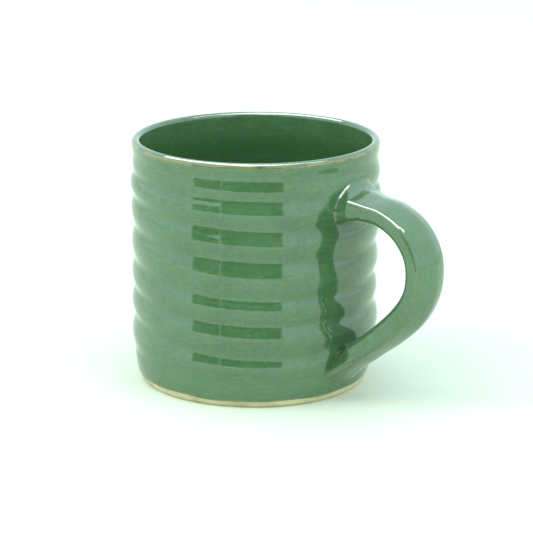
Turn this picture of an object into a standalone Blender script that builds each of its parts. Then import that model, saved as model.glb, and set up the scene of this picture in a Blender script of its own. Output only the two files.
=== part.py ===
"""A wheel-thrown stoneware mug with a pulled strap handle, modelled at its real size in metres.

The axis of the mug is +Z, the flat foot rests on Z = 0, and the handle stands out along +X.
Every piece that the potter makes, and every coat of glaze, is its own closed solid.
"""

import bmesh
import bpy
from math import atan2, cos, hypot, pi, radians, sin, sqrt, tau

MM = 0.001
COLLECTION = "ceramic_mug"
CUTTERS = "ceramic_mug_cutters"

# Body, over the glaze
HEIGHT = 87.9 * MM
WALL_RADIUS = 43.3 * MM  # at the bottom of a throwing groove
COLLAR_FLARE = 0.55 * MM  # how far the plain collar opens towards the lip
FOOT_RADIUS = 40.9 * MM
FOOT_TUCK_HEIGHT = 10.0 * MM  # the wall curves in below this
FOOT_TUCK_POWER = 2.4
FOOT_EDGE_ROUND = 0.6 * MM
LIP_RADIUS = 1.6 * MM
BORE_RADIUS_TOP = 41.0 * MM
BORE_RADIUS_LOW = 39.6 * MM
BORE_CORNER = 9.0 * MM
FLOOR_TOP = 6.6 * MM
GLAZE_LINE = 2.5 * MM  # the clay is bare below this

# Throwing rings: one helix of finger grooves, which sinks by one ring a turn
RING_HEIGHT = 1.1 * MM
GROOVE_HEIGHTS = [z * MM for z in (-1.0, 11.6, 24.2, 34.6, 45.0, 57.1, 68.1, 76.9, 85.0)]
GROOVE_START = radians(220)  # the direction in which those heights are measured
GROOVE_SOFTNESS = 0.14
RINGS_FADE_IN = (7 * MM, 17 * MM)
RINGS_FADE_OUT = (70 * MM, 86 * MM)
ROOT_PADS = [  # where a handle root smooths the rings: z of its middle, half width, half height
    (70.6 * MM, 11.8 * MM, 7.9 * MM),
    (12.5 * MM, 12.0 * MM, 8.2 * MM),
]
ROOT_PAD = 0.6  # the share of their height that the rings keep there
ROOT_PAD_EDGE = (0.95, 1.45)  # where the smoothing ends, in half sizes
HANDLING_DENT = 0.9 * MM  # the soft wall was pressed in a little beside the handle
DENT_ANGLE = radians(40)
DENT_MIDDLE, DENT_HALF_HEIGHT = 35 * MM, 27 * MM
FOOT_DENT = 2.0 * MM  # the foot is pressed in more on the same side
FOOT_DENT_FADE = (2 * MM, 18 * MM)

# Coats
GAP = 0.3 * MM  # air between touching pieces
GLAZE = 0.4 * MM
CLAY_INSET = GAP + GLAZE

# Handle, over the glaze: x, z of the strap's middle line, half width, half thickness
STRAP = [
    (48.6, 70.0, 9.7, 3.6),
    (53.6, 69.7, 8.8, 2.9),
    (60.8, 68.6, 8.4, 2.8),
    (68.4, 64.5, 8.2, 2.9),
    (73.5, 57.9, 8.2, 2.8),
    (75.0, 50.4, 8.2, 2.8),
    (73.6, 42.5, 8.1, 3.1),
    (68.6, 34.4, 8.1, 3.7),
    (60.9, 27.2, 8.2, 3.6),
    (54.9, 22.6, 8.5, 3.4),
    (49.8, 18.8, 8.9, 3.4),
]
STRAP_CORNER_POWER = 4.5  # 2 is an ellipse, more is squarer
OUTER_CROWN, INNER_CROWN = 1.6 * MM, 0.3 * MM  # how much the strap's faces bulge
CROWN_MIDDLE = 2.0 * MM  # the ridge of the bulge lies this far towards +Y
CROWN_POWER = 1.4
FLARE_LEAVE = 0.6 * MM  # how far a root keeps the strap's direction before it spreads
FLARE_RISE = 0.6 * MM  # how steeply its edge meets the wall

# Where each root meets the wall, in mm: across, z and how long it runs along the wall. In order: the
# strap's +Y side, outer +Y corner, outer face, outer -Y corner, -Y side, inner -Y corner, inner face
# and inner +Y corner.
UPPER_ROOT = [
    (13.0, 70.0, 1.2),
    (11.0, 77.0, 2.0),
    (3.5, 78.6, 2.5),
    (-3.5, 77.6, 1.5),
    (-9.8, 71.0, 1.0),
    (-8.6, 64.4, 1.0),
    (0.0, 62.6, 1.2),
    (11.0, 64.0, 1.2),
]
LOWER_ROOT = [
    (10.5, 14.5, 1.0),
    (10.0, 7.5, 1.2),
    (0.0, 3.9, 4.0),
    (-12.0, 9.4, 1.0),
    (-9.8, 13.6, 1.0),
    (-6.8, 17.2, 1.0),
    (0.0, 20.4, 1.2),
    (8.0, 18.0, 1.0),
]

# Facets
TURN_STEPS = 40
WALL_ROWS = 32
BORE_ROWS = 4
LIP_ROWS = 5
CORNER_ROWS = 5
FLOOR_ROWS = 3
STRAP_RINGS = 24
STRAP_SIDES = 16
FLARE_RINGS = 5
BASE_SHARES = (1.0, 0.7, 0.35, 0.05)  # rings that make a joint's base follow the round wall
CUTTER_SIDES = 32

CLAY = ("bare_stoneware", (0.62, 0.56, 0.38), 0.85)
SLIP = ("fired_slip", (0.58, 0.51, 0.34), 0.9)
GREEN = ("green_glaze", (0.14, 0.31, 0.17), 0.12)


def clear_scene():
    for obj in list(bpy.data.objects):
        bpy.data.objects.remove(obj, do_unlink=True)


def new_collection(name, shown):
    made = bpy.data.collections.new(name)
    made.hide_render = not shown
    bpy.context.scene.collection.children.link(made)
    return made


def finish(name, mesh, finish_values, collection):
    """Puts a mesh in the scene as a named piece with its own material."""
    slot, colour, roughness = finish_values
    material = bpy.data.materials.new(f"{name}_{slot}")
    material.use_nodes = True
    shader = material.node_tree.nodes["Principled BSDF"]
    shader.inputs["Base Color"].default_value = (*colour, 1)
    shader.inputs["Roughness"].default_value = roughness
    shader.inputs["Metallic"].default_value = 0
    mesh.materials.append(material)
    mesh.shade_smooth()
    mesh.set_sharp_from_angle(angle=radians(50))
    obj = bpy.data.objects.new(name, mesh)
    collection.objects.link(obj)
    return obj


def smoothstep(low, high, value):
    t = min(1.0, max(0.0, (value - low) / (high - low)))
    return t * t * (3 - 2 * t)


def groove_phase(z):
    """Counts grooves up the wall, in the direction where the helix is measured."""
    for n, (low, high) in enumerate(zip(GROOVE_HEIGHTS, GROOVE_HEIGHTS[1:])):
        if z < high:
            break
    return n + (z - low) / (high - low)


def ring_push(angle, z):
    """How far the wall stands out beyond its grooves, less the dents beside the handle."""
    turn = ((angle - GROOVE_START) % tau) / tau
    wave = sqrt(sin(pi * (groove_phase(z) + turn)) ** 2 + GROOVE_SOFTNESS**2)
    lobe = (wave - GROOVE_SOFTNESS) / (sqrt(1 + GROOVE_SOFTNESS**2) - GROOVE_SOFTNESS)
    lobe *= smoothstep(*RINGS_FADE_IN, z) * (1 - smoothstep(*RINGS_FADE_OUT, z))
    pad = max(root_pad(pad, angle, z) for pad in ROOT_PADS)
    rest = ROOT_PAD * smoothstep(*RINGS_FADE_IN, z)
    dent = 1 - smoothstep(0, DENT_HALF_HEIGHT, abs(z - DENT_MIDDLE))
    foot_dent = 1 - smoothstep(*FOOT_DENT_FADE, z)
    pressed = (HANDLING_DENT * dent + FOOT_DENT * foot_dent) * max(0.0, cos(angle - DENT_ANGLE)) ** 2
    return RING_HEIGHT * (lobe + (rest - lobe) * pad) - pressed


def root_pad(pad, angle, z):
    """1 where a root of the handle covers the wall, falling to 0 just outside it."""
    middle, half_width, half_height = pad
    if cos(angle) <= 0:
        return 0.0
    reach = hypot(WALL_RADIUS * sin(angle) / half_width, (z - middle) / half_height)
    return 1 - smoothstep(*ROOT_PAD_EDGE, reach)


def wall_radius(z):
    """The glazed wall's radius in its grooves, from the tucked foot to the collar."""
    tuck = max(0.0, 1 - z / FOOT_TUCK_HEIGHT) ** FOOT_TUCK_POWER
    flare = COLLAR_FLARE * smoothstep(HEIGHT - 6 * MM, HEIGHT - LIP_RADIUS, z)
    collar = 0.3 * MM * smoothstep(60 * MM, 70 * MM, z)
    return WALL_RADIUS - (WALL_RADIUS - FOOT_RADIUS) * tuck + collar + flare


def bore_radius(z):
    """The glazed bore's radius, a little wider at the lip than at the floor."""
    return BORE_RADIUS_LOW + (BORE_RADIUS_TOP - BORE_RADIUS_LOW) * z / (HEIGHT - LIP_RADIUS)


LIP_Z = HEIGHT - LIP_RADIUS
LIP_OUTER = wall_radius(LIP_Z)


def wall_heights(lowest):
    """Row heights down the outer wall. Every coat uses the same ones, so their gaps hold."""
    count = WALL_ROWS
    rows = [LIP_Z * n / count for n in range(count, 0, -1)]
    return [z for z in rows if z > lowest + 0.4 * MM] + [lowest]


def lip_points(inset, steps=LIP_ROWS):
    """The lip's round from the bore over to the wall, set in by a coat's thickness."""
    middle = (BORE_RADIUS_TOP + LIP_OUTER) / 2
    half = (LIP_OUTER - BORE_RADIUS_TOP) / 2 - inset
    rise = LIP_RADIUS - inset
    angles = [pi * n / steps for n in range(steps, -1, -1)]
    return [(middle + half * cos(a), LIP_Z + rise * sin(a)) for a in angles]


def bore_points(inset):
    """The floor from the axis outwards, its round corner and the bore up to the lip."""
    floor = FLOOR_TOP - inset
    corner = BORE_CORNER + inset
    edge = bore_radius(FLOOR_TOP + BORE_CORNER) + inset
    points = [((edge - corner) * n / FLOOR_ROWS, floor) for n in range(FLOOR_ROWS)]
    for n in range(CORNER_ROWS + 1):
        a = pi / 2 * n / CORNER_ROWS
        points.append((edge - corner + corner * sin(a), floor + corner - corner * cos(a)))
    low = FLOOR_TOP + BORE_CORNER
    for n in range(1, BORE_ROWS):
        z = low + (LIP_Z - low) * n / BORE_ROWS
        points.append((bore_radius(z) + inset, z))
    return points


def wall_points(inset, lowest):
    """The outer wall from just under the lip down to its lowest row."""
    heights = wall_heights(lowest)[1:]
    return [(wall_radius(z) - inset, z) for z in heights]


def turned(name, profile, closed):
    """A profile at +X turned about +Z. Points on the outer side run from top to bottom."""
    mesh = bpy.data.meshes.new(name)
    edges = [(n, n + 1) for n in range(len(profile) - 1)]
    if closed:
        edges.append((len(profile) - 1, 0))
    mesh.from_pydata([(r, 0, z) for r, z in profile], edges, [])
    blank = bpy.data.objects.new(name + "_profile", mesh)
    bpy.context.scene.collection.objects.link(blank)
    screw = blank.modifiers.new("Turn", "SCREW")
    screw.steps = screw.render_steps = TURN_STEPS
    screw.use_merge_vertices = True
    screw.merge_threshold = 0.00001
    graph = bpy.context.evaluated_depsgraph_get()
    solid = bpy.data.meshes.new_from_object(blank.evaluated_get(graph))
    bpy.data.objects.remove(blank, do_unlink=True)
    solid.name = name
    return solid


def press_rings(mesh):
    """Pushes the outer wall out between its helical grooves."""
    for vertex in mesh.vertices:
        x, y, z = vertex.co
        radius = hypot(x, y)
        inside = BORE_RADIUS_TOP + CLAY_INSET if z > FLOOR_TOP else 0.9 * FOOT_RADIUS
        if radius > inside and z < LIP_Z:
            scale = 1 + ring_push(atan2(y, x), z) / radius
            vertex.co.x *= scale
            vertex.co.y *= scale


def surface_radius(angle, z, inset):
    return wall_radius(z) - inset + ring_push(angle, z)


def make_thrown_body(collection):
    foot = FOOT_RADIUS - FOOT_EDGE_ROUND
    bare = (GLAZE_LINE - GAP, GLAZE_LINE / 2, FOOT_EDGE_ROUND)
    profile = bore_points(CLAY_INSET) + lip_points(CLAY_INSET)
    profile += wall_points(CLAY_INSET, GLAZE_LINE - 0.1 * MM)
    # Below the glaze line the bare clay fills out to the wall's full radius.
    profile += [(wall_radius(z), z) for z in bare]
    profile += [(foot, 0), (foot / 2, 0), (0, 0)]
    mesh = turned("thrown_body", profile, closed=False)
    press_rings(mesh)
    return finish("thrown_body", mesh, CLAY, collection)


def make_liner_glaze(collection):
    face = bore_points(0)
    back = bore_points(GLAZE)
    top = LIP_Z - GAP
    face.append((bore_radius(top), top))
    back.append((bore_radius(top) + GLAZE, top))
    mesh = turned("liner_glaze", face + back[::-1], closed=False)
    return finish("liner_glaze", mesh, GREEN, collection)


def make_wall_glaze(collection, cutters):
    outer = lip_points(0) + wall_points(0, GLAZE_LINE)
    inner = lip_points(GLAZE) + wall_points(GLAZE, GLAZE_LINE)
    mesh = turned("wall_glaze", outer + inner[::-1], closed=True)
    press_rings(mesh)
    coat = finish("wall_glaze", mesh, GREEN, collection)
    for name, root in (("upper", UPPER_ROOT), ("lower", LOWER_ROOT)):
        cutter = root_cutter(f"{name}_root_cutter", root, cutters)
        cut = coat.modifiers.new(f"{name} root", "BOOLEAN")
        cut.operation = "DIFFERENCE"
        cut.solver = "EXACT"
        cut.object = cutter
    return coat


def root_cutter(name, root, collection):
    """A stub along +X that opens the wall's coat round one root of the handle."""
    near, far = 38 * MM, 50 * MM
    outline = [root_point(root, tau * n / CUTTER_SIDES, -GAP) for n in range(CUTTER_SIDES)]
    rings = [[(x, across, z) for across, z, _ in outline] for x in (near, far)]
    cutter = bpy.data.objects.new(name, loft(name, rings))
    collection.objects.link(cutter)
    cutter.hide_render = True
    cutter.display_type = "WIRE"
    return cutter


def section_point(half_width, half_height, power, angle):
    """A point of a rounded rectangle, as (across, up)."""
    c, s = cos(angle), sin(angle)
    across = half_width * abs(c) ** (2 / power) * (1 if c >= 0 else -1)
    up = half_height * abs(s) ** (2 / power) * (1 if s >= 0 else -1)
    return across, up


def crown(across, out, half_width):
    """How far a face of the strap bulges here, away from the strap's middle line."""
    beside = across - CROWN_MIDDLE
    reach = half_width - CROWN_MIDDLE if beside > 0 else half_width + CROWN_MIDDLE
    height = OUTER_CROWN if out > 0 else -INNER_CROWN
    return height * (1 - min(1, abs(beside) / reach) ** CROWN_POWER)


def smooth_between(a, b, c, d, f):
    """The rows b and c joined by a smooth curve, at f of the way, in metres."""
    return [
        MM * (q + f * ((r - p) + f * (2 * p - 5 * q + 4 * r - s + f * (3 * (q - r) + s - p))) / 2)
        for p, q, r, s in zip(a, b, c, d)
    ]


def strap_at(t):
    """The strap's x, z, half width and half thickness at t, from 0 at the top to 1 at the bottom."""
    spans = len(STRAP) - 1
    n = min(spans - 1, int(t * spans))
    rows = [STRAP[min(max(n + k, 0), spans)] for k in (-1, 0, 1, 2)]
    return smooth_between(*rows, t * spans - n)


def root_middle(root):
    return MM * (root[2][1] + root[6][1]) / 2


def root_point(root, turn, inset):
    """A point of a root's outline, set in towards its middle: across, z and its run along the wall."""
    spot = turn / tau * len(root)
    n = int(spot)
    rows = [root[(n + k) % len(root)] for k in (-1, 0, 1, 2)]
    across, z, run = smooth_between(*rows, spot - n)
    up = z - root_middle(root)
    keep = 1 - inset / hypot(across, up)
    return across * keep, root_middle(root) + up * keep, run


def strap_ring(t, inset):
    """One cross-section of the strap, square to its middle line."""
    x, z, half_width, half_thick = strap_at(t)
    step = 0.004
    before, after = strap_at(max(0, t - step)), strap_at(min(1, t + step))
    run, rise = after[0] - before[0], after[1] - before[1]
    length = hypot(run, rise)
    out_x, out_z = -rise / length, run / length
    ring = []
    for n in range(STRAP_SIDES):
        across, out = section_point(
            half_width - inset, half_thick - inset, STRAP_CORNER_POWER, tau * (n + 0.5) / STRAP_SIDES
        )
        out += crown(across, out, half_width)
        ring.append((x + out * out_x, across, z + out * out_z))
    return ring


def root_ring(root, inset, wall_inset, share=1.0):
    """The outline where a root meets the wall, or a share of it, in the order of the strap's sections."""
    middle = root_middle(root)
    ring = []
    for n in range(STRAP_SIDES):
        across, z, _ = root_point(root, tau * (n + 0.5) / STRAP_SIDES, inset)
        across *= share
        z = middle + (z - middle) * share
        radius = WALL_RADIUS
        for _ in range(3):
            angle = atan2(across, sqrt(max(0.0, radius**2 - across**2)))
            radius = surface_radius(angle, z, wall_inset)
        ring.append((sqrt(radius**2 - across**2), across, z))
    return ring


def flare_rings(before, end, on_wall, root):
    """The rings from the strap's end to the wall, along curves that leave in the strap's direction."""
    runs = [root_point(root, tau * (n + 0.5) / STRAP_SIDES, 0)[2] for n in range(STRAP_SIDES)]
    middle = root_middle(root)
    rings = []
    for n in range(1, FLARE_RINGS):
        t = n / FLARE_RINGS
        rings.append([flare_point(*points, middle, t) for points in zip(before, end, on_wall, runs)])
    return rings


def flare_point(behind, start, stop, run, middle, t):
    """A point at t of the curve from a corner of the strap's end to its place on the wall."""
    along = [s - b for s, b in zip(start, behind)]
    length = sqrt(sum(a * a for a in along))
    leave = [s + a * FLARE_LEAVE / length for s, a in zip(start, along)]
    out_y, out_z = stop[1], stop[2] - middle
    reach = hypot(out_y, out_z)
    across = stop[1] - run * out_y / reach
    arrive = (
        sqrt(stop[0] ** 2 + stop[1] ** 2 - across**2) + FLARE_RISE,
        across,
        stop[2] - run * out_z / reach,
    )
    weights = ((1 - t) ** 3, 3 * t * (1 - t) ** 2, 3 * t * t * (1 - t), t**3)
    return tuple(
        sum(w * p[k] for w, p in zip(weights, (start, leave, arrive, stop))) for k in range(3)
    )


def loft(name, rings, bore=None):
    """A closed solid through rings of equal count, capped at its ends or open along a bore."""
    body = bmesh.new()
    skin = [[body.verts.new(p) for p in ring] for ring in rings]
    count = len(rings[0])
    join_rings(body, skin, count)
    if bore is None:
        body.faces.new(skin[0])
        body.faces.new(skin[-1][::-1])
    else:
        inside = [[body.verts.new(p) for p in ring] for ring in bore]
        join_rings(body, inside, count)
        join_rings(body, [skin[0], inside[0]], count)
        join_rings(body, [skin[-1], inside[-1]], count)
    bmesh.ops.recalc_face_normals(body, faces=body.faces)
    mesh = bpy.data.meshes.new(name)
    body.to_mesh(mesh)
    body.free()
    return mesh


def join_rings(body, rings, count):
    for lower, upper in zip(rings, rings[1:]):
        for n in range(count):
            m = (n + 1) % count
            body.faces.new((lower[n], lower[m], upper[m], upper[n]))


def strap_rings(inset):
    return [strap_ring(n / STRAP_RINGS, inset) for n in range(STRAP_RINGS + 1)]


def make_pulled_handle(collection):
    rings = strap_rings(CLAY_INSET)
    return finish("pulled_handle", loft("pulled_handle", rings), CLAY, collection)


def shifted(ring, before):
    """A ring moved GAP beyond the strap's end, away from the ring before it."""
    middle = [sum(p[k] for p in ring) / len(ring) for k in range(3)]
    behind = [sum(p[k] for p in before) / len(before) for k in range(3)]
    step = [m - b for m, b in zip(middle, behind)]
    length = sqrt(sum(s * s for s in step))
    return [tuple(p[k] + step[k] * GAP / length for k in range(3)) for p in ring]


def make_slip_joint(name, root, end, before, collection):
    top = shifted(end, before)
    bases = [root_ring(root, CLAY_INSET, CLAY_INSET - GAP, share) for share in BASE_SHARES]
    rings = [top] + flare_rings(before, top, bases[0], root) + bases
    return finish(name, loft(name, rings), SLIP, collection)


def make_handle_glaze(collection):
    coats = []
    for inset in (0, GLAZE):
        strap = strap_rings(inset)
        upper = root_ring(UPPER_ROOT, inset, CLAY_INSET - GAP)
        lower = root_ring(LOWER_ROOT, inset, CLAY_INSET - GAP)
        top = flare_rings(strap[1], strap[0], upper, UPPER_ROOT)[::-1]
        foot = flare_rings(strap[-2], strap[-1], lower, LOWER_ROOT)
        coats.append([upper] + top + strap + foot + [lower])
    return finish("handle_glaze", loft("handle_glaze", coats[0], coats[1]), GREEN, collection)


def main():
    clear_scene()
    parts = new_collection(COLLECTION, shown=True)
    cutters = new_collection(CUTTERS, shown=False)
    make_thrown_body(parts)
    make_liner_glaze(parts)
    make_wall_glaze(parts, cutters)
    make_pulled_handle(parts)
    strap = strap_rings(CLAY_INSET)
    make_slip_joint("upper_slip_joint", UPPER_ROOT, strap[0], strap[1], parts)
    make_slip_joint("lower_slip_joint", LOWER_ROOT, strap[-1], strap[-2], parts)
    make_handle_glaze(parts)


main()
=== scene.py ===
"""The looks of a wheel-thrown stoneware mug with a pulled strap handle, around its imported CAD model.

The clay body, the glaze over the whole vessel and the glaze over the handle are modelled here.
The clay core of the handle and its two slip joints stay as the CAD made them, under the glaze.
"""

from math import cos, pi, radians, sin, tau

import bpy
import numpy as np
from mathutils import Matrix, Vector


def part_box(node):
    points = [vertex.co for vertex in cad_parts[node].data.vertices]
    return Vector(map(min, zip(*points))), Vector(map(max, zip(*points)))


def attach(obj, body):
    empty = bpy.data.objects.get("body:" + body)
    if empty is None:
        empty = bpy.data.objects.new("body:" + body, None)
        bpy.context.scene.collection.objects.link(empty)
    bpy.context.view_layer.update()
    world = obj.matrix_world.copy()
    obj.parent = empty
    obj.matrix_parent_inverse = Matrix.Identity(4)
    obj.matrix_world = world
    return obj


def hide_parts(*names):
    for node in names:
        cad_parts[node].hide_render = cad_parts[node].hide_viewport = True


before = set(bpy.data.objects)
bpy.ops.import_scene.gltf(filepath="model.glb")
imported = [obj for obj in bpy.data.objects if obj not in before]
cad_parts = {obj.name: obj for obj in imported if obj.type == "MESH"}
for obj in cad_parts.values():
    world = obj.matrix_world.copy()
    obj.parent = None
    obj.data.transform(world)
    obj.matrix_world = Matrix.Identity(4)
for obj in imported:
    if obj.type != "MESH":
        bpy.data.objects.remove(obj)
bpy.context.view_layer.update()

bl_info = {
    "name": "Wheel-thrown mug",
    "version": (1, 0, 0),
    "blender": (4, 5, 0),
    "location": "3D View > Sidebar > Mug",
    "description": "Builds the clay, glaze and studio of a wheel-thrown mug with a pulled handle",
    "category": "Add Mesh",
}

MM = 0.001
BODY = "root"
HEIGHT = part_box("wall_glaze")[1].z

# Profile of the glazed wall
FOOT_RADIUS = 40.9 * MM
FOOT_TUCK_HEIGHT = 10.0 * MM  # the wall curves in below this
FOOT_TUCK_POWER = 2.4
FOOT_EDGE_ROUND = 0.6 * MM
FLOOR_TOP = 6.6 * MM  # the glazed floor inside the cup
BORE_RADIUS_TOP = 41.0 * MM
BORE_RADIUS_LOW = 39.6 * MM
BORE_CORNER = 9.0 * MM  # round of the corner between floor and bore
BORE_SIDE = BORE_RADIUS_TOP + 0.6 * MM  # what lies within this, above the floor, belongs to the bore
COLLAR_HEIGHT = 6 * MM
COLLAR_FLARE = 0.55 * MM
SHOULDER = (60 * MM, 70 * MM)
SHOULDER_RISE = 0.3 * MM

# Throwing rings: one helix of finger grooves, which sinks by one ring a turn
GROOVE_HEIGHTS = [z * MM for z in (-1.0, 11.6, 24.2, 34.6, 45.0, 57.1, 68.1, 76.9, 85.0)]
GROOVE_START = radians(220)  # the direction in which those heights are measured
GROOVE_SOFTNESS = 0.14
FRONT_DIRECTION = radians(310)  # the side on which the fingers pressed less evenly
FRONT_SOFTNESS = 0.35  # added to the grooves' softness there
FRONT_RINGS = (0.5, 0.75, 0.8, 0.55, 0.85, 1.05, 0.75, 0.35, 0.2)  # each ring's share of its height there
# How far each ring sinks there: heights from the foot up, and the drop in mm
FRONT_SINK_HEIGHTS = [z * MM for z in (18, 29, 39, 52, 62, 73, 80)]
FRONT_SINK = [drop * MM for drop in (2.5, 1.6, 3.1, 0.9, 1.3, 0.0, 0.4)]
RINGS_FADE_IN = (7 * MM, 17 * MM)
RINGS_FADE_OUT = (70 * MM, 86 * MM)
ROOT_PADS = [  # where a handle root smooths the rings: z of its middle, half width, half height
    (70.6 * MM, 11.8 * MM, 7.9 * MM),
    (12.5 * MM, 12.0 * MM, 8.2 * MM),
]
ROOT_PAD = 0.6  # the share of their height that the rings keep there
ROOT_PAD_EDGE = (0.95, 1.45)  # where the smoothing ends, in half sizes
HANDLING_DENT = 0.9 * MM  # the wall was pressed in a little by hand, beside the handle
DENT_ANGLE = radians(40)
DENT_MIDDLE, DENT_HALF_HEIGHT = 35 * MM, 27 * MM
FOOT_DENT = 2.0 * MM  # the foot is pressed in more on the same side
FOOT_DENT_FADE = (2 * MM, 18 * MM)
FOOT_DENT_SPREAD = (0.5 * FOOT_RADIUS, 0.95 * FOOT_RADIUS)  # from where the underside follows the wall

# Faint finger rings up the bore and the spiral on the floor
BORE_RING_PITCH = 9.5 * MM
BORE_RING_DEPTH = 0.22 * MM
BORE_RINGS_FADE_IN = (FLOOR_TOP + 4 * MM, FLOOR_TOP + 14 * MM)
BORE_RINGS_FADE_OUT = (70 * MM, 84 * MM)
SPIRAL_PITCH = 5.5 * MM
SPIRAL_HEIGHT = 0.16 * MM
SPIRAL_FADE_IN = (3 * MM, 8 * MM)
SPIRAL_FADE_OUT = (24 * MM, 31 * MM)

# The wire that cut the mug off the wheel left shallow nested arcs under the base
WIRE_CENTRE = (52 * MM, -8 * MM)
WIRE_PITCH = 4.5 * MM
WIRE_DEPTH = 0.18 * MM
WIRE_FADE = (26 * MM, 36 * MM)

# Where the clay meets the glaze
CLAY_GAP = 0.08 * MM  # between the clay and the back of the glaze
BARE_STEP = 0.22 * MM  # how far the bare foot lies behind the glaze's face
BARE_OVERLAP = 1.2 * MM  # how far the foot's surface runs up under the glaze
GLAZE_ROLL = 0.3 * MM  # the glaze's thick rounded edge

# Where the glaze shows thin, broken or pooled, and where shade is painted into its colour
LIP_BREAK_OUT, LIP_BREAK_WIDTH = 0.1 * MM, 1.2 * MM  # beyond the wall's top
LIP_BREAK_UP, LIP_BREAK_HEIGHT = 0.5 * MM, 0.9 * MM  # above the wall's top
FOOT_BREAK, FOOT_BREAK_HEIGHT = 0.8, 0.9 * MM
GROOVE_POOL_AND_SHADE = 0.2  # painted shade and pooled glaze in the grooves, where 1 is the painted shade over the whole inside of the cup
GROOVE_POOL_AND_SHADE_FADE = (8 * MM, 16 * MM)
# the painted shade inside the cup and in the grooves fades out towards the lip
POOL_AND_SHADE_FADE = (76 * MM, 84 * MM)
EDGE_WEAR = 0.25  # along the strap's outer corners
CREASE_WEAR, CREASE_WIDTH = 0.8, 0.7  # along the lower root, its width in corner turns
GRAIN_STRETCH = 0.16  # how far patterns are stretched the way the clay was drawn

# The finer variations of the glaze and the clay: a colour, and the most of it that is mixed in
BLOOM, BLOOM_SHARE = "#486F58", 0.55
STREAK, STREAK_SHARE = "#5E7646", 0.35
FLECK, FLECK_SHARE = "#35573A", 0.40
# painted shade: the dark green of the cup's inside and of the groove bottoms, where glaze also pools
POOL_AND_SHADE, POOL_AND_SHADE_SHARE = "#2B5029", 0.6
CLAY_GRIT, CLAY_GRIT_SHARE = "#CDC8A6", 0.4
IRON_SPECK, IRON_SPECK_SHARE = "#5E4A33", 0.8
CLAY_CLOUD = "#A79F78"
SLIP_DARK, SLIP_PALE = "#9C9168", "#B0A680"
GLAZE_IOR, CLAY_IOR = 1.76, 1.5
GLAZE_ROUGHNESS, CLAY_ROUGHNESS, SLIP_ROUGHNESS = (0.02, 0.07), (0.72, 0.92), 0.85

# Strap of the handle: x, z of its middle line, half width and half thickness, in millimetres
STRAP = [
    (48.6, 70.0, 9.7, 3.6),
    (53.6, 69.7, 8.8, 2.9),
    (60.8, 68.6, 8.4, 2.8),
    (68.4, 64.5, 8.2, 2.9),
    (73.5, 57.9, 8.2, 2.8),
    (75.0, 50.4, 8.2, 2.8),
    (73.6, 42.5, 8.1, 3.1),
    (68.6, 34.4, 8.1, 3.7),
    (60.9, 27.2, 8.2, 3.6),
    (54.9, 22.6, 8.5, 3.4),
    (49.8, 18.8, 8.9, 3.4),
]
OUTER_CORNER, INNER_CORNER = 0.95 * MM, 2.2 * MM  # how round the strap's edges are
OUTER_CROWN, INNER_CROWN = 1.6 * MM, 0.3 * MM  # how much the strap's faces bulge
CROWN_MIDDLE = 2.0 * MM  # the ridge of the bulge lies this far towards +Y
CROWN_POWER = 1.4
CORNER_TURN = radians(7)  # half of what a rounded corner takes of a root's outline
FLARE_LEAVE = 0.6 * MM  # how far a flare's curve runs on in the strap's direction
FLARE_RISE = 0.6 * MM  # how far it still stands off the wall as it reaches it
SUNK = 0.25 * MM  # how deep the handle's glaze edge lies in the wall's glaze

# Where each root meets the wall, in mm: across, z and how long it runs along the wall. In order: the
# strap's +Y side, outer +Y corner, outer face, outer -Y corner, -Y side, inner -Y corner, inner face
# and inner +Y corner.
UPPER_ROOT = [
    (13.0, 70.0, 1.2),
    (11.0, 77.0, 2.0),
    (3.5, 78.6, 2.5),
    (-3.5, 77.6, 1.5),
    (-9.8, 71.0, 1.0),
    (-8.6, 64.4, 1.0),
    (0.0, 62.6, 1.2),
    (11.0, 64.0, 1.2),
]
LOWER_ROOT = [
    (10.5, 14.5, 1.0),
    (10.0, 7.5, 1.2),
    (0.0, 3.9, 4.0),
    (-12.0, 9.4, 1.0),
    (-9.8, 13.6, 1.0),
    (-6.8, 17.2, 1.0),
    (0.0, 20.4, 1.2),
    (8.0, 18.0, 1.0),
]

CORNER_STEPS = 7
FACE_STEPS = 18
SIDE_STEPS = 6
STRAP_RINGS = 96
RING_SPACING = 1.1 * MM  # about how far apart the rings lie along the strap
FLARE_RINGS = 14
GIRTH = 50 * MM  # about how far it is round the strap

# How finely the vessel is spun
CLAY_STEPS = 192
GLAZE_STEPS = 256

# Studio, in metres
TENT_BRIGHTNESS = 1.63
PAPER = (0.64, 0.70, 0.57)
PAPER_HALF_WIDTH = 4.0
DARK = (0.02, 0.02, 0.02)
CARD_DISTANCE = 0.5
TENT_OPENING = (-29.5, 24, 0.5)  # from and to, in degrees round from the camera, and how tall it is
TENT_FLAP = (-56, -30.5, 0.16)
GLOW_HEIGHT = 1.0
# The corners of each lamp's glow, to the camera's right and in front of the mug, and its strength
LONG_GLOW = ((-1.0, -0.45), (-0.5, -0.8), (-0.15, 0.75), (0.45, 0.2)), 11.0
SHORT_GLOW = ((0.2, -0.1), (0.75, -0.1), (0.2, 0.12), (0.75, 0.12)), 9.0
LAMP_DISTANCE, LAMP_SIZE = 1.3, 0.9
LEFT_LAMP = (-70, 43, 7.6)  # degrees round from the camera, elevation and watts
RIGHT_LAMP = (52, 28, 4.6)

# Camera
CAMERA_AZIMUTH = 40.0
CAMERA_ELEVATION = 14.865
CAMERA_DISTANCE = 1.01908
CAMERA_LENS = 191.85
CAMERA_AIM = (0, 0, 0.04392)
CAMERA_SHIFT = (0.0201, -0.0195)


def linear(hex_colour):
    """An sRGB hex value as linear red, green and blue."""
    parts = [int(hex_colour[n : n + 2], 16) / 255 for n in (1, 3, 5)]
    return tuple(c / 12.92 if c <= 0.04045 else ((c + 0.055) / 1.055) ** 2.4 for c in parts)


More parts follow.
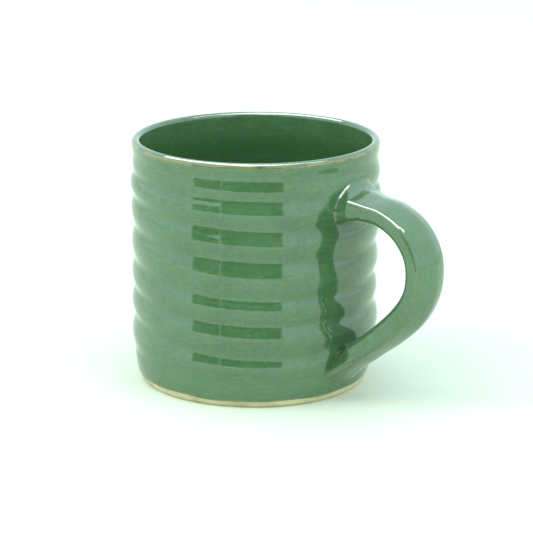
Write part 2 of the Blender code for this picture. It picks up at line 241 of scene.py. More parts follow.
class MugSizes(bpy.types.PropertyGroup):
    """Sizes that a potter would change"""

    wall_radius: bpy.props.FloatProperty(
        name="Wall radius",
        description="Radius of the glazed wall at the bottom of a throwing groove",
        default=43.3 * MM,
        unit="LENGTH",
        subtype="DISTANCE",
    )
    ring_height: bpy.props.FloatProperty(
        name="Ring height",
        description="How far a throwing ring stands out between its grooves",
        default=1.1 * MM,
        unit="LENGTH",
        subtype="DISTANCE",
    )
    lip_rise: bpy.props.FloatProperty(
        name="Lip rise",
        description="Height of the rounded top of the lip",
        default=1.6 * MM,
        unit="LENGTH",
        subtype="DISTANCE",
    )
    glaze_thickness: bpy.props.FloatProperty(
        name="Glaze thickness",
        description="Thickness of the fired glaze",
        default=0.35 * MM,
        unit="LENGTH",
        subtype="DISTANCE",
    )
    glaze_line: bpy.props.FloatProperty(
        name="Glaze line",
        description="Height up to which the foot is left bare",
        default=2.5 * MM,
        unit="LENGTH",
        subtype="DISTANCE",
    )


class MugColours(bpy.types.PropertyGroup):
    """Colours that a potter would change"""

    glaze_deep: bpy.props.FloatVectorProperty(
        name="Deep glaze",
        description="Glaze where it lies thick",
        default=linear("#3E5E37"),
        subtype="COLOR",
    )
    glaze_pale: bpy.props.FloatVectorProperty(
        name="Pale glaze",
        description="Glaze where it lies thinner, with a bluish bloom",
        default=linear("#446740"),
        subtype="COLOR",
    )
    glaze_break: bpy.props.FloatVectorProperty(
        name="Glaze break",
        description="Glaze where it runs thin over an edge and the clay warms it",
        default=linear("#857C4C"),
        subtype="COLOR",
    )
    clay: bpy.props.FloatVectorProperty(
        name="Bare clay",
        description="Fired stoneware on the foot",
        default=linear("#C8C49C"),
        subtype="COLOR",
    )
    studio: bpy.props.FloatVectorProperty(
        name="Studio white",
        description="Colour of the studio's walls and light",
        default=linear("#E7F9FF"),
        subtype="COLOR",
    )


def sizes():
    return bpy.context.scene.mug_sizes


def colours():
    return bpy.context.scene.mug_colours


# Shape of the vessel, as formulas


def smoothstep(low, high, value):
    t = np.clip((value - low) / (high - low), 0, 1)
    return t * t * (3 - 2 * t)


def bell(middle, half_width, value):
    """1 at the middle, falling softly to 0 at half_width from it."""
    return 1 - smoothstep(0, half_width, np.abs(value - middle))


def wall_radius(z):
    """The glazed wall's radius in its grooves, from the tucked foot to the collar."""
    wall = sizes().wall_radius
    tuck = np.clip(1 - z / FOOT_TUCK_HEIGHT, 0, None) ** FOOT_TUCK_POWER
    shoulder = SHOULDER_RISE * smoothstep(*SHOULDER, z)
    collar = COLLAR_FLARE * smoothstep(HEIGHT - COLLAR_HEIGHT, lip_z(), z)
    return wall - (wall - FOOT_RADIUS) * tuck + shoulder + collar


def lip_z():
    """Where the straight wall ends and the rounded lip begins."""
    return HEIGHT - sizes().lip_rise


def bore_radius(z):
    """The glazed bore's radius, a little wider towards the lip."""
    return BORE_RADIUS_LOW + (BORE_RADIUS_TOP - BORE_RADIUS_LOW) * z / lip_z()


def root_pad(pad, angle, z):
    """1 where a root of the handle covers the wall, falling to 0 just outside it."""
    middle, half_width, half_height = pad
    across = sizes().wall_radius * np.sin(angle) / half_width
    reach = np.hypot(across, (z - middle) / half_height)
    return np.where(np.cos(angle) > 0, 1 - smoothstep(*ROOT_PAD_EDGE, reach), 0)


def ring_share(angle, z):
    """0 at the bottom of a throwing groove, 1 on the crest between two grooves."""
    turn = ((angle - GROOVE_START) % tau) / tau
    front = np.clip(np.cos(angle - FRONT_DIRECTION), 0, 1) ** 1.5
    sunk = z + front * np.interp(z, FRONT_SINK_HEIGHTS, FRONT_SINK)
    ring = np.interp(sunk, GROOVE_HEIGHTS, range(len(GROOVE_HEIGHTS))) + turn
    soft = GROOVE_SOFTNESS + FRONT_SOFTNESS * front
    lobe = (np.hypot(np.sin(pi * ring), soft) - soft) / (np.hypot(1, soft) - soft)
    pressed = np.interp(ring - 0.5, range(len(FRONT_RINGS)), FRONT_RINGS)
    lobe *= 1 + (pressed - 1) * front
    return lobe * smoothstep(*RINGS_FADE_IN, z) * (1 - smoothstep(*RINGS_FADE_OUT, z))


def ring_push(angle, z):
    """How far the wall stands out beyond its grooves, less the dents beside the handle."""
    lobe = ring_share(angle, z)
    pad = np.maximum(*(root_pad(pad, angle, z) for pad in ROOT_PADS))
    rest = ROOT_PAD * smoothstep(*RINGS_FADE_IN, z)
    dent = HANDLING_DENT * bell(DENT_MIDDLE, DENT_HALF_HEIGHT, z)
    dent += FOOT_DENT * (1 - smoothstep(*FOOT_DENT_FADE, z))
    beside = np.clip(np.cos(angle - DENT_ANGLE), 0, 1) ** 2
    return sizes().ring_height * (lobe + (rest - lobe) * pad) - dent * beside


def surface_radius(angle, z, inset):
    """The radius of the ringed wall, or of a surface that lies the inset inside it."""
    return wall_radius(z) - inset + ring_push(angle, z)


def foot_wander(angle):
    """How far the glaze line wanders up and down round the foot."""
    waves = ((0.16, 3, 1.1), (0.12, 7, 0.4), (0.10, 13, 2.3))
    return MM * sum(height * np.sin(count * angle + start) for height, count, start in waves)


# Modelling helpers


def select_only(obj):
    bpy.ops.object.select_all(action="DESELECT")
    obj.select_set(True)
    bpy.context.view_layer.objects.active = obj


def drawn_outline(name, points):
    """A line of edges through (radius, z) points at +X, extruded from one corner of a small plane."""
    bpy.ops.object.select_all(action="DESELECT")
    bpy.ops.mesh.primitive_plane_add(size=MM)
    obj = bpy.context.object
    obj.name = obj.data.name = name
    bpy.ops.object.mode_set(mode="EDIT")
    bpy.ops.mesh.merge(type="CENTER")
    bpy.ops.mesh.select_mode(type="VERT")
    bpy.ops.mesh.select_all(action="SELECT")
    radius, z = points[0]
    bpy.ops.transform.translate(value=(radius, 0, z))
    for after in points[1:]:
        step = (after[0] - radius, 0, after[1] - z)
        bpy.ops.mesh.extrude_vertices_move(TRANSFORM_OT_translate={"value": step})
        radius, z = after
    bpy.ops.object.mode_set(mode="OBJECT")
    return obj


def spun(name, points, steps):
    """A solid of revolution about the mug's axis."""
    obj = drawn_outline(name, points)
    bpy.ops.object.mode_set(mode="EDIT")
    bpy.ops.mesh.select_all(action="SELECT")
    bpy.ops.mesh.spin(steps=steps, angle=tau, center=(0, 0, 0), axis=(0, 0, 1))
    bpy.ops.mesh.select_all(action="SELECT")
    bpy.ops.mesh.remove_doubles(threshold=0.001 * MM)
    bpy.ops.mesh.normals_make_consistent(inside=False)
    bpy.ops.object.mode_set(mode="OBJECT")
    return obj


def points_of(obj):
    flat = np.empty(len(obj.data.vertices) * 3, np.float32)
    obj.data.vertices.foreach_get("co", flat)
    return flat.reshape(-1, 3).astype(float)


def put_points(obj, points):
    obj.data.vertices.foreach_set("co", points.astype(np.float32).ravel())
    obj.data.update()


def note(obj, name, values):
    """Keeps one number a vertex, for the material."""
    layer = obj.data.attributes.new(name, "FLOAT", "POINT")
    layer.data.foreach_set("value", np.asarray(values, np.float32))


def note_grain(obj, places):
    """Keeps a place a vertex, for patterns that run out long the way the clay was drawn."""
    layer = obj.data.attributes.new("grain", "FLOAT_VECTOR", "POINT")
    layer.data.foreach_set("vector", np.asarray(places, np.float32).ravel())


def finish_piece(obj, material, slot, *replaced):
    """Gives a piece its material, and says what it rides on and which CAD nodes it replaces."""
    select_only(obj)
    bpy.ops.object.shade_smooth_by_angle(angle=radians(60))
    obj.data.materials.clear()
    obj.data.materials.append(material)
    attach(obj, BODY)
    if replaced:
        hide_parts(*replaced)


def arc(middle, radius, first, last, steps):
    """Points on an arc, given as (radius, z) pairs, without its first point."""
    turns = [first + (last - first) * n / steps for n in range(1, steps + 1)]
    return [(middle[0] + radius[0] * cos(t), middle[1] + radius[1] * sin(t)) for t in turns]


def heights(low, high, step):
    """Row heights from low up to high, about one step apart."""
    count = max(1, round((high - low) / step))
    return [low + (high - low) * n / count for n in range(count + 1)]


def inside_outline(inset, floor_rows, corner_rows, bore_step):
    """The floor from the axis outwards, its round corner and the bore up to the lip."""
    floor = FLOOR_TOP - inset
    corner = BORE_CORNER + inset
    low = FLOOR_TOP + BORE_CORNER
    edge = bore_radius(low) + inset
    points = [((edge - corner) * n / floor_rows, floor) for n in range(floor_rows + 1)]
    points += arc((edge - corner, floor + corner), (corner, corner), -pi / 2, 0, corner_rows)
    points += [(bore_radius(z) + inset, z) for z in heights(low, lip_z(), bore_step)[1:]]
    return points


def lip_outline(inset, steps):
    """The lip's round from the bore over to the wall."""
    outer = float(wall_radius(lip_z()))
    middle = (BORE_RADIUS_TOP + outer) / 2
    half = (outer - BORE_RADIUS_TOP) / 2 - inset
    return arc((middle, lip_z()), (half, sizes().lip_rise - inset), pi, 0, steps)


def wall_outline(inset, lowest, step):
    """The outer wall from just under the lip down to its lowest row."""
    rows = heights(lowest, lip_z(), step)[:-1][::-1]
    return [(float(wall_radius(z)) - inset, z) for z in rows]


def press_rings(points):
    """Pushes the outer wall out between its helical grooves, and says which points are on it."""
    radius = np.hypot(points[:, 0], points[:, 1])
    angle = np.arctan2(points[:, 1], points[:, 0])
    z = points[:, 2]
    inside = np.where(z > FLOOR_TOP, BORE_SIDE, 0.9 * FOOT_RADIUS)
    outside = (radius > inside) & (z < lip_z())
    base = z < 0.5 * FOOT_EDGE_ROUND
    share = np.where(base, smoothstep(*FOOT_DENT_SPREAD, radius), outside)
    scale = 1 + share * ring_push(angle, z) / np.maximum(radius, MM)
    points[:, 0] *= scale
    points[:, 1] *= scale
    return outside


def press_inside(points):
    """Faint finger rings up the bore and a flat spiral on the floor."""
    radius = np.hypot(points[:, 0], points[:, 1])
    angle = np.arctan2(points[:, 1], points[:, 0])
    z = points[:, 2]
    bore = (radius < BORE_SIDE) & (z > FLOOR_TOP)
    rise = z / BORE_RING_PITCH + angle / tau
    fade = smoothstep(*BORE_RINGS_FADE_IN, z) * (1 - smoothstep(*BORE_RINGS_FADE_OUT, z))
    press = BORE_RING_DEPTH * np.abs(np.sin(pi * rise)) * fade * bore
    scale = 1 - press / np.maximum(radius, MM)
    points[:, 0] *= scale
    points[:, 1] *= scale
    floor = np.abs(z - FLOOR_TOP) < MM
    spiral = np.sin(tau * radius / SPIRAL_PITCH - angle) * smoothstep(*SPIRAL_FADE_IN, radius)
    points[:, 2] += SPIRAL_HEIGHT * spiral * (1 - smoothstep(*SPIRAL_FADE_OUT, radius)) * floor


# Materials


def node(tree, kind, inputs=None, **settings):
    """Adds a node. An input is either a value or the output socket that it is linked from."""
    made = tree.nodes.new(kind)
    for name, value in settings.items():
        setattr(made, name, value)
    for name, value in (inputs or {}).items():
        if isinstance(value, bpy.types.NodeSocket):
            tree.links.new(value, made.inputs[name])
        else:
            made.inputs[name].default_value = value
    return made


def new_material(name):
    """A material, its node tree and its shader."""
    material = bpy.data.materials.new(name)
    material.use_nodes = True
    tree = material.node_tree
    return material, tree, tree.nodes["Principled BSDF"]


def mixed(tree, share, first, second):
    """Two colours mixed by a share. Each may be a value or a socket."""
    made = node(tree, "ShaderNodeMix", data_type="RGBA")
    for index, value in ((0, share), (6, first), (7, second)):
        if isinstance(value, bpy.types.NodeSocket):
            tree.links.new(value, made.inputs[index])
        else:
            made.inputs[index].default_value = value if index == 0 else (*value, 1)
    return made.outputs[2]


def noise(tree, vector, size, detail=3.0, roughness=0.5):
    """Noise whose patches are about the given size across."""
    made = node(
        tree,
        "ShaderNodeTexNoise",
        {"Vector": vector, "Scale": 1 / size, "Detail": detail, "Roughness": roughness},
    )
    return made.outputs["Fac"]


def between(tree, value, low, high):
    """The value stretched so that low becomes 0 and high becomes 1."""
    made = node(tree, "ShaderNodeMapRange", {"Value": value, "From Min": low, "From Max": high})
    made.interpolation_type = "SMOOTHSTEP"
    return made.outputs["Result"]


def scaled(tree, value, factor):
    """The value times a factor, which may be a number or a socket."""
    made = node(tree, "ShaderNodeMath", {0: value, 1: factor}, operation="MULTIPLY")
    return made.outputs[0]


def attribute(tree, name, output="Fac"):
    """What note or note_grain kept under this name."""
    return node(tree, "ShaderNodeAttribute", attribute_name=name).outputs[output]


def copper_green_gloss_glaze():
    """Copper-green stoneware glaze, poured and fired to a gloss: deep where it pools, olive where thin.
    Shade is painted in, darker inside the cup and in the grooves.
    """
    material, tree, shader = new_material("copper_green_gloss_glaze")
    place = node(tree, "ShaderNodeTexCoord").outputs["Object"]
    grain = attribute(tree, "grain", "Vector")
    tone = colours()
    clouds = noise(tree, place, 14 * MM, 4)
    mottle = noise(tree, place, 1.8 * MM, 5, 0.7)
    streaks = noise(tree, grain, 1.0 * MM, 4, 0.65)
    flecks = noise(tree, grain, 0.55 * MM, 2, 0.6)
    colour = mixed(tree, between(tree, clouds, 0.35, 0.68), tone.glaze_deep, tone.glaze_pale)
    bloom = scaled(tree, between(tree, mottle, 0.42, 0.66), BLOOM_SHARE)
    colour = mixed(tree, bloom, colour, linear(BLOOM))
    streak = scaled(tree, between(tree, streaks, 0.50, 0.68), STREAK_SHARE)
    colour = mixed(tree, streak, colour, linear(STREAK))
    fleck = scaled(tree, between(tree, flecks, 0.56, 0.72), FLECK_SHARE)
    colour = mixed(tree, fleck, colour, linear(FLECK))
    # painted shade: darkens the whole inside of the cup and the groove bottoms, where glaze also pools
    pool_and_painted_shade = scaled(tree, attribute(tree, "pool_and_painted_shade"), POOL_AND_SHADE_SHARE)
    colour = mixed(tree, pool_and_painted_shade, colour, linear(POOL_AND_SHADE))
    broken = between(tree, noise(tree, grain, 0.9 * MM, 3, 0.6), 0.36, 0.56)
    worn = scaled(tree, attribute(tree, "thin"), broken)
    colour = mixed(tree, worn, colour, tone.glaze_break)
    tree.links.new(colour, shader.inputs["Base Color"])
    smooth, rough = GLAZE_ROUGHNESS
    gloss = node(tree, "ShaderNodeMapRange", {"Value": mottle, "To Min": smooth, "To Max": rough})
    tree.links.new(gloss.outputs["Result"], shader.inputs["Roughness"])
    shader.inputs["IOR"].default_value = GLAZE_IOR
    wavy = noise(tree, grain, 2.6 * MM, 2, 0.4)
    skin = node(tree, "ShaderNodeBump", {"Height": wavy, "Strength": 0.5, "Distance": 0.08 * MM})
    peel = node(
        tree,
        "ShaderNodeBump",
        {"Height": mottle, "Strength": 0.4, "Distance": 0.03 * MM, "Normal": skin.outputs[0]},
    )
    tree.links.new(peel.outputs[0], shader.inputs["Normal"])
    return material


def bare_fired_stoneware():
    """Fired stoneware clay, turned and sponged: matt, sandy, with fine iron specks."""
    material, tree, shader = new_material("bare_fired_stoneware")
    place = node(tree, "ShaderNodeTexCoord").outputs["Object"]
    clay = colours().clay
    clouds = noise(tree, place, 9 * MM, 4)
    grit = noise(tree, place, 0.5 * MM, 3, 0.7)
    specks = noise(tree, place, 0.8 * MM, 1)
    colour = mixed(tree, between(tree, clouds, 0.3, 0.7), clay, linear(CLAY_CLOUD))
    gritty = scaled(tree, between(tree, grit, 0.45, 0.7), CLAY_GRIT_SHARE)
    colour = mixed(tree, gritty, colour, linear(CLAY_GRIT))
    speckled = scaled(tree, between(tree, specks, 0.7, 0.76), IRON_SPECK_SHARE)
    colour = mixed(tree, speckled, colour, linear(IRON_SPECK))
    tree.links.new(colour, shader.inputs["Base Color"])
    smooth, rough = CLAY_ROUGHNESS
    dull = node(tree, "ShaderNodeMapRange", {"Value": grit, "To Min": smooth, "To Max": rough})
    tree.links.new(dull.outputs["Result"], shader.inputs["Roughness"])
    shader.inputs["IOR"].default_value = CLAY_IOR
    sandy = node(tree, "ShaderNodeBump", {"Height": grit, "Strength": 0.6, "Distance": 0.08 * MM})
    tree.links.new(sandy.outputs[0], shader.inputs["Normal"])
    return material


def fired_joining_slip():
    """Slip brushed between handle and wall, fired: the same clay, smoother and a little darker."""
    material, tree, shader = new_material("fired_joining_slip")
    place = node(tree, "ShaderNodeTexCoord").outputs["Object"]
    brushed = noise(tree, place, 1.2 * MM, 4, 0.6)
    colour = mixed(tree, between(tree, brushed, 0.35, 0.65), linear(SLIP_DARK), linear(SLIP_PALE))
    tree.links.new(colour, shader.inputs["Base Color"])
    shader.inputs["Roughness"].default_value = SLIP_ROUGHNESS
    ridges = node(tree, "ShaderNodeBump", {"Height": brushed, "Strength": 0.5, "Distance": 0.1 * MM})
    tree.links.new(ridges.outputs[0], shader.inputs["Normal"])
    return material


def kept(maker):
    """A material made once and shared by the pieces that need it."""
    return bpy.data.materials.get(maker.__name__) or maker()


# Pieces


class MUG_OT_clay_body(bpy.types.Operator):
    """Model the thrown clay body, bare on its foot and under its base"""

    bl_idname = "mug.clay_body"
    bl_label = "Clay body"

    def execute(self, context):
        under = sizes().glaze_thickness + CLAY_GAP
        line = sizes().glaze_line + BARE_OVERLAP
        outline = inside_outline(under, 4, 6, 6 * MM) + lip_outline(under, 8)
        outline += wall_outline(under, line, 1.4 * MM)
        foot = FOOT_RADIUS - BARE_STEP - FOOT_EDGE_ROUND
        rows = heights(FOOT_EDGE_ROUND, line, 0.4 * MM)[::-1][1:]
        outline += [(float(wall_radius(z)) - BARE_STEP, z) for z in rows]
        outline += arc((foot, FOOT_EDGE_ROUND), (FOOT_EDGE_ROUND, FOOT_EDGE_ROUND), 0, -pi / 2, 5)
        outline += [(foot * n / 24, 0) for n in range(23, -1, -1)]
        clay = spun("stoneware_body", outline, CLAY_STEPS)
        points = points_of(clay)
        press_rings(points)
        radius = np.hypot(points[:, 0], points[:, 1])
        base = points[:, 2] < 0.05 * MM
        sweep = np.hypot(points[:, 0] - WIRE_CENTRE[0], points[:, 1] - WIRE_CENTRE[1])
        marks = (0.5 + 0.5 * np.sin(tau * sweep / WIRE_PITCH)) * (1 - smoothstep(*WIRE_FADE, radius))
        points[:, 2] += WIRE_DEPTH * marks * base
        put_points(clay, points)
        finish_piece(clay, kept(bare_fired_stoneware), "bare_stoneware", "thrown_body")
        return {"FINISHED"}


class MUG_OT_vessel_glaze(bpy.types.Operator):
    """Model the one coat of glaze over the inside, the lip and the wall"""

    bl_idname = "mug.vessel_glaze"
    bl_label = "Vessel glaze"

    def execute(self, context):
        thick = sizes().glaze_thickness
        line = sizes().glaze_line
        edge = line + GLAZE_ROLL
        face = inside_outline(0, 14, 10, 1.4 * MM) + lip_outline(0, 14)
        face += wall_outline(0, edge, 0.5 * MM)
        face += arc((face[-1][0] - GLAZE_ROLL, edge), (GLAZE_ROLL, GLAZE_ROLL), 0, -pi / 2, 4)
        back = inside_outline(thick, 4, 5, 8 * MM) + lip_outline(thick, 7)
        back += wall_outline(thick, edge, 1.6 * MM)
        coat = spun("vessel_glaze", face + back[::-1], GLAZE_STEPS)
        points = points_of(coat)
        z = points[:, 2].copy()
        outside = press_rings(points)
        press_inside(points)
        angle = np.arctan2(points[:, 1], points[:, 0])
        points[:, 2] += foot_wander(angle) * (1 - smoothstep(line, line + 5 * MM, z)) * outside
        put_points(coat, points)
        crest = ring_share(angle, z)
        # painted shade: the groove bottoms darken, partly as pooled glaze, and the whole inside of the cup
        # darkens as the shade of its hollow, less so towards the lip
        groove_pool_and_shade = GROOVE_POOL_AND_SHADE * (1 - crest) ** 3 * smoothstep(*GROOVE_POOL_AND_SHADE_FADE, z)
        pool_and_painted_shade = np.where(outside, groove_pool_and_shade, 1) * (1 - smoothstep(*POOL_AND_SHADE_FADE, z))
        radius = np.hypot(points[:, 0], points[:, 1])
        outer_lip = bell(float(wall_radius(lip_z())) + LIP_BREAK_OUT, LIP_BREAK_WIDTH, radius)
        lip_break = outer_lip * bell(lip_z() + LIP_BREAK_UP, LIP_BREAK_HEIGHT, z)
        foot_break = FOOT_BREAK * bell(line, FOOT_BREAK_HEIGHT, z) * outside
        note(coat, "pool_and_painted_shade", pool_and_painted_shade)
        note(coat, "thin", np.clip(lip_break + foot_break, 0, 1))
        note_grain(coat, points * (GRAIN_STRETCH, GRAIN_STRETCH, 1))
        finish_piece(coat, kept(copper_green_gloss_glaze), "green_glaze", "wall_glaze", "liner_glaze")
        return {"FINISHED"}


# Shape of the handle


def smooth_between(a, b, c, d, f):
    """Between rows b and c, at f of the way, on a smooth curve through a, b, c and d, in metres."""
    return MM * (b + f * ((c - a) + f * (2 * a - 5 * b + 4 * c - d + f * (3 * (b - c) + d - a))) / 2)


def strap_at(t):
    """The strap's x, z, half width and half thickness at t, from 0 at the top to 1 at the bottom."""
    spans = len(STRAP) - 1
    n = min(spans - 1, int(t * spans))
    rows = [np.array(STRAP[min(max(n + k, 0), spans)]) for k in (-1, 0, 1, 2)]
    return smooth_between(*rows, t * spans - n)


def section(half_width, half_thick):
    """A strap's cross-section from its first corner: turn, across and out of each point."""
    corners = []
    for quarter, radius in enumerate((OUTER_CORNER, OUTER_CORNER, INNER_CORNER, INNER_CORNER)):
        turn = pi / 4 + quarter * pi / 2
        bends = np.linspace(quarter * pi / 2, (quarter + 1) * pi / 2, CORNER_STEPS)
        across = (half_width - radius) * np.sign(cos(turn)) + radius * np.cos(bends)
        out = (half_thick - radius) * np.sign(sin(turn)) + radius * np.sin(bends)
        turns = np.linspace(turn - CORNER_TURN, turn + CORNER_TURN, CORNER_STEPS)
        corners.append(np.column_stack((turns, across, out)))
    rows = []
    for quarter, corner in enumerate(corners):
        after = corners[(quarter + 1) % 4][0] + (tau * (quarter == 3), 0, 0)
        steps = FACE_STEPS if quarter % 2 == 0 else SIDE_STEPS
        rows += [*corner, *(corner[-1] + (after - corner[-1]) * n / steps for n in range(1, steps))]
    rows = np.array(rows)
    beside = rows[:, 1] - CROWN_MIDDLE
    reach = np.where(beside > 0, half_width - CROWN_MIDDLE, half_width + CROWN_MIDDLE)
    height = np.where(rows[:, 2] > 0, OUTER_CROWN, INNER_CROWN)
    crown = height * (1 - (np.abs(beside) / reach) ** CROWN_POWER)
    rows[:, 2] += crown * np.sign(rows[:, 2]) * (np.abs(rows[:, 2]) / half_thick) ** 4
    return rows


def strap_ring(t):
    """One cross-section of the strap, square to its middle line."""
    x, z, half_width, half_thick = strap_at(t)
    step = strap_at(min(1, t + 0.004)) - strap_at(max(0, t - 0.004))
    run, rise = step[:2] / np.hypot(step[0], step[1])
    _, across, out = section(half_width, half_thick).T
    return np.column_stack((x - out * rise, across, z + out * run))


def root_middle(root):
    """The height halfway between a root's outer and inner faces."""
    return MM * (root[2][1] + root[6][1]) / 2


def root_outline(root):
    """A root's outline in the order of the strap's sections: across, z and its run along the wall."""
    rows = []
    for turn in section(*strap_at(0)[2:])[:, 0]:
        spot = turn / tau * len(root)
        n = int(spot)
        near = [np.array(root[(n + k) % len(root)]) for k in (-1, 0, 1, 2)]
        rows.append(smooth_between(*near, spot - n))
    return np.array(rows)


def flare_rings(behind, start, root):
    """The rings from the strap's end to the wall, which leave in the strap's direction."""
    across, z, run = root_outline(root).T
    radius = np.full(len(z), sizes().wall_radius)
    for _ in range(3):  # the angle depends on the radius, and settles at once
        radius = surface_radius(np.arcsin(across / radius), z, SUNK)
    stop = np.column_stack((np.sqrt(radius**2 - across**2), across, z))
    along = start - behind
    leave = start + along * (FLARE_LEAVE / np.linalg.norm(along, axis=1))[:, None]
    up = z - root_middle(root)
    reach = np.hypot(across, up)
    nearer = across - run * across / reach
    arrive = np.column_stack((np.sqrt(radius**2 - nearer**2) + FLARE_RISE, nearer, z - run * up / reach))
    rings = []
    for n in range(1, FLARE_RINGS + 1):
        t = n / FLARE_RINGS
        weights = ((1 - t) ** 3, 3 * t * (1 - t) ** 2, 3 * t * t * (1 - t), t**3)
        rings.append(sum(w * p for w, p in zip(weights, (start, leave, arrive, stop))))
    return rings


def handle_rings():
    """Every ring of the handle from its upper root, round the strap, to its lower root."""
    strap = [strap_ring(n / STRAP_RINGS) for n in range(STRAP_RINGS + 1)]
    top = flare_rings(strap[1], strap[0], UPPER_ROOT)
    foot = flare_rings(strap[-2], strap[-1], LOWER_ROOT)
    return np.array(top[::-1] + strap + foot)


def straight_tube(name, sides, rings):
    """A straight open tube, a circle extruded one millimetre at a time."""
    bpy.ops.object.select_all(action="DESELECT")
    bpy.ops.mesh.primitive_circle_add(vertices=sides, radius=10 * MM)
    obj = bpy.context.object
    obj.name = obj.data.name = name
    bpy.ops.object.mode_set(mode="EDIT")
    for _ in range(rings - 1):
        bpy.ops.mesh.extrude_region_move(TRANSFORM_OT_translate={"value": (0, 0, MM)})
    bpy.ops.object.mode_set(mode="OBJECT")
    return obj


class MUG_OT_handle_glaze(bpy.types.Operator):
    """Model the glaze over the pulled handle, from root to root"""

    bl_idname = "mug.handle_glaze"
    bl_label = "Handle glaze"

    def execute(self, context):
        rings = handle_rings()
        count, sides = rings.shape[:2]
        coat = straight_tube("handle_coat", sides, count)
        points = points_of(coat)
        ring = np.rint(points[:, 2] / MM).astype(int)
        side = np.rint(np.arctan2(points[:, 1], points[:, 0]) / (tau / sides)).astype(int) % sides
        put_points(coat, rings[ring, side])
        select_only(coat)
        bpy.ops.object.mode_set(mode="EDIT")
        bpy.ops.mesh.select_all(action="SELECT")
        bpy.ops.mesh.normals_make_consistent(inside=False)
        bpy.ops.object.mode_set(mode="OBJECT")
        shell = coat.modifiers.new("Glaze thickness", "SOLIDIFY")
        shell.thickness = sizes().glaze_thickness
        shell.offset = -1
        bpy.ops.object.modifier_apply(modifier=shell.name)
        ring, side = np.tile(ring, 2), np.tile(side, 2)
        turn = section(*strap_at(0.5)[2:])[side, 0]
        near, far = 3 * pi / 4, pi / 4  # the outer corners on the -Y and the +Y side
        worn = EDGE_WEAR * np.maximum(bell(far, CORNER_TURN, turn), bell(near, CORNER_TURN, turn))
        root = smoothstep(count - FLARE_RINGS - 4, count - FLARE_RINGS + 2, ring)
        crease = CREASE_WEAR * bell(near, CREASE_WIDTH * CORNER_TURN, turn) * root
        # no pooled glaze and no painted shade on the handle
        note(coat, "pool_and_painted_shade", np.zeros(len(ring)))
        note(coat, "thin", np.maximum(worn, crease))
        along = ring * RING_SPACING * GRAIN_STRETCH
        note_grain(coat, np.column_stack((along, np.zeros(len(ring)), side * GIRTH / sides)))
        finish_piece(coat, kept(copper_green_gloss_glaze), "green_glaze", "handle_glaze")
        return {"FINISHED"}


class MUG_OT_hidden_clay(bpy.types.Operator):
    """Give the handle's clay core and its slip joints their fired finish"""

    bl_idname = "mug.hidden_clay"
    bl_label = "Clay under the handle's glaze"

    def execute(self, context):
        for name, maker in (
            ("pulled_handle", bare_fired_stoneware),
            ("upper_slip_joint", fired_joining_slip),
            ("lower_slip_joint", fired_joining_slip),
        ):
            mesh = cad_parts[name].data
            mesh.materials.clear()
            mesh.materials.append(kept(maker))
        return {"FINISHED"}


# Studio


def direction(azimuth, elevation):
    """The unit vector from the mug towards a place round it, in degrees, as the camera's is given."""
    a, e = radians(azimuth), radians(elevation)
    return Vector((sin(a) * cos(e), -cos(a) * cos(e), sin(e)))


def stage_material(name, colour, strength=0.0):
    """A matt material, which glows if it is given a strength."""
    material, _, shader = new_material(name)
    shader.inputs["Base Color"].default_value = (*colour, 1)
    shader.inputs["Roughness"].default_value = 0.9
    if strength:
        shader.inputs["Emission Color"].default_value = (*colour, 1)
        shader.inputs["Emission Strength"].default_value = strength
    return material


def plain_card(name, material, corners):
    """A flat card through four corners, which belongs to the studio."""
    bpy.ops.object.select_all(action="DESELECT")
    bpy.ops.mesh.primitive_plane_add(size=1)
    card = bpy.context.object
    card.name = card.data.name = name
    for vertex, corner in zip(card.data.vertices, corners):
        vertex.co = corner
    card.data.materials.append(material)
    return card


def reflected_only(card):
    """Leaves a card to reflections alone."""
    card.visible_camera = False
    card.visible_diffuse = False
    card.visible_transmission = False
    card.visible_shadow = False


def dark_card(name, left, right, height):
    """A dark card before the mug, which only reflections see, like a gap in a white tent."""
    sides = [direction(CAMERA_AZIMUTH + turn, 0) * CARD_DISTANCE for turn in (left, right)]
    corners = [(side.x, side.y, z) for z in (0, height) for side in sides]
    reflected_only(plain_card(name, stage_material(name + "_card", DARK), corners))


def glowing_card(name, places, strength):
    """A glowing card overhead, which only reflections see, like the lamps above a white tent."""
    right, front = direction(CAMERA_AZIMUTH + 90, 0), direction(CAMERA_AZIMUTH, 0)
    corners = [right * x + front * y + Vector((0, 0, GLOW_HEIGHT)) for x, y in places]
    reflected_only(plain_card(name, stage_material(name + "_card", (1, 1, 1), strength), corners))


def side_lamp(name, turn, elevation, power):
    """A broad soft lamp, which the glaze doesn't mirror."""
    lamp = bpy.data.objects.new(name, bpy.data.lights.new(name, "AREA"))
    bpy.context.scene.collection.objects.link(lamp)
    lamp.data.size = LAMP_SIZE
    lamp.data.energy = power
    lamp.location = direction(CAMERA_AZIMUTH + turn, elevation) * LAMP_DISTANCE
    lamp.rotation_euler = lamp.location.to_track_quat("Z", "Y").to_euler()
    lamp.visible_glossy = False


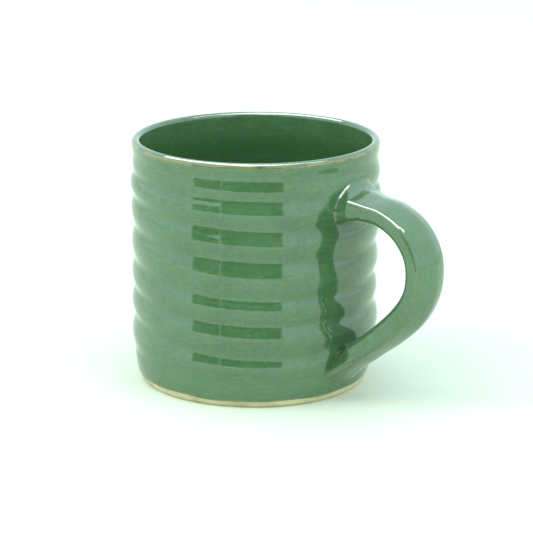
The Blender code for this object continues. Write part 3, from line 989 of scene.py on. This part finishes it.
class MUG_OT_studio(bpy.types.Operator):
    """Set up the pale floor, the white studio light and the camera"""

    bl_idname = "mug.studio"
    bl_label = "Studio"

    def execute(self, context):
        scene = context.scene
        scene.view_settings.view_transform = "Standard"
        scene.view_settings.look = "None"
        world = bpy.data.worlds.new("white_tent")
        scene.world = world
        world.use_nodes = True
        backdrop = world.node_tree.nodes["Background"]
        backdrop.inputs["Color"].default_value = (*colours().studio, 1)
        backdrop.inputs["Strength"].default_value = TENT_BRIGHTNESS
        ends = (-PAPER_HALF_WIDTH, PAPER_HALF_WIDTH)
        corners = [(x, y, 0) for y in ends for x in ends]
        plain_card("floor", stage_material("white_paper_floor", PAPER), corners)
        dark_card("tent_opening", *TENT_OPENING)
        dark_card("tent_flap", *TENT_FLAP)
        glowing_card("long_lamp_glow", *LONG_GLOW)
        glowing_card("short_lamp_glow", *SHORT_GLOW)
        side_lamp("left_lamp", *LEFT_LAMP)
        side_lamp("right_lamp", *RIGHT_LAMP)
        aim = Vector(CAMERA_AIM)
        camera = bpy.data.objects.new("camera", bpy.data.cameras.new("camera"))
        scene.collection.objects.link(camera)
        back = direction(CAMERA_AZIMUTH, CAMERA_ELEVATION)
        camera.location = aim + back * CAMERA_DISTANCE
        camera.rotation_euler = (-back).to_track_quat("-Z", "Y").to_euler()
        camera.data.lens = CAMERA_LENS
        camera.data.shift_x, camera.data.shift_y = CAMERA_SHIFT
        scene.camera = camera
        return {"FINISHED"}


class MUG_PT_sidebar(bpy.types.Panel):
    """Sizes, colours and the pieces in the order they are made"""

    bl_label = "Wheel-thrown mug"
    bl_space_type = "VIEW_3D"
    bl_region_type = "UI"
    bl_category = "Mug"

    def draw(self, context):
        layout = self.layout
        for group in (context.scene.mug_sizes, context.scene.mug_colours):
            for name in group.__annotations__:
                layout.prop(group, name)
        for operator in OPERATORS:
            layout.operator(operator.bl_idname)


OPERATORS = (
    MUG_OT_studio,
    MUG_OT_clay_body,
    MUG_OT_vessel_glaze,
    MUG_OT_handle_glaze,
    MUG_OT_hidden_clay,
)
CLASSES = (MugSizes, MugColours, *OPERATORS, MUG_PT_sidebar)


def register():
    for made in CLASSES:
        bpy.utils.register_class(made)
    bpy.types.Scene.mug_sizes = bpy.props.PointerProperty(type=MugSizes)
    bpy.types.Scene.mug_colours = bpy.props.PointerProperty(type=MugColours)


def unregister():
    del bpy.types.Scene.mug_colours
    del bpy.types.Scene.mug_sizes
    for made in reversed(CLASSES):
        bpy.utils.unregister_class(made)


def main():
    register()
    bpy.ops.mug.studio()
    bpy.ops.mug.clay_body()
    bpy.ops.mug.vessel_glaze()
    bpy.ops.mug.handle_glaze()
    bpy.ops.mug.hidden_clay()


if __name__ == "__main__":
    main()
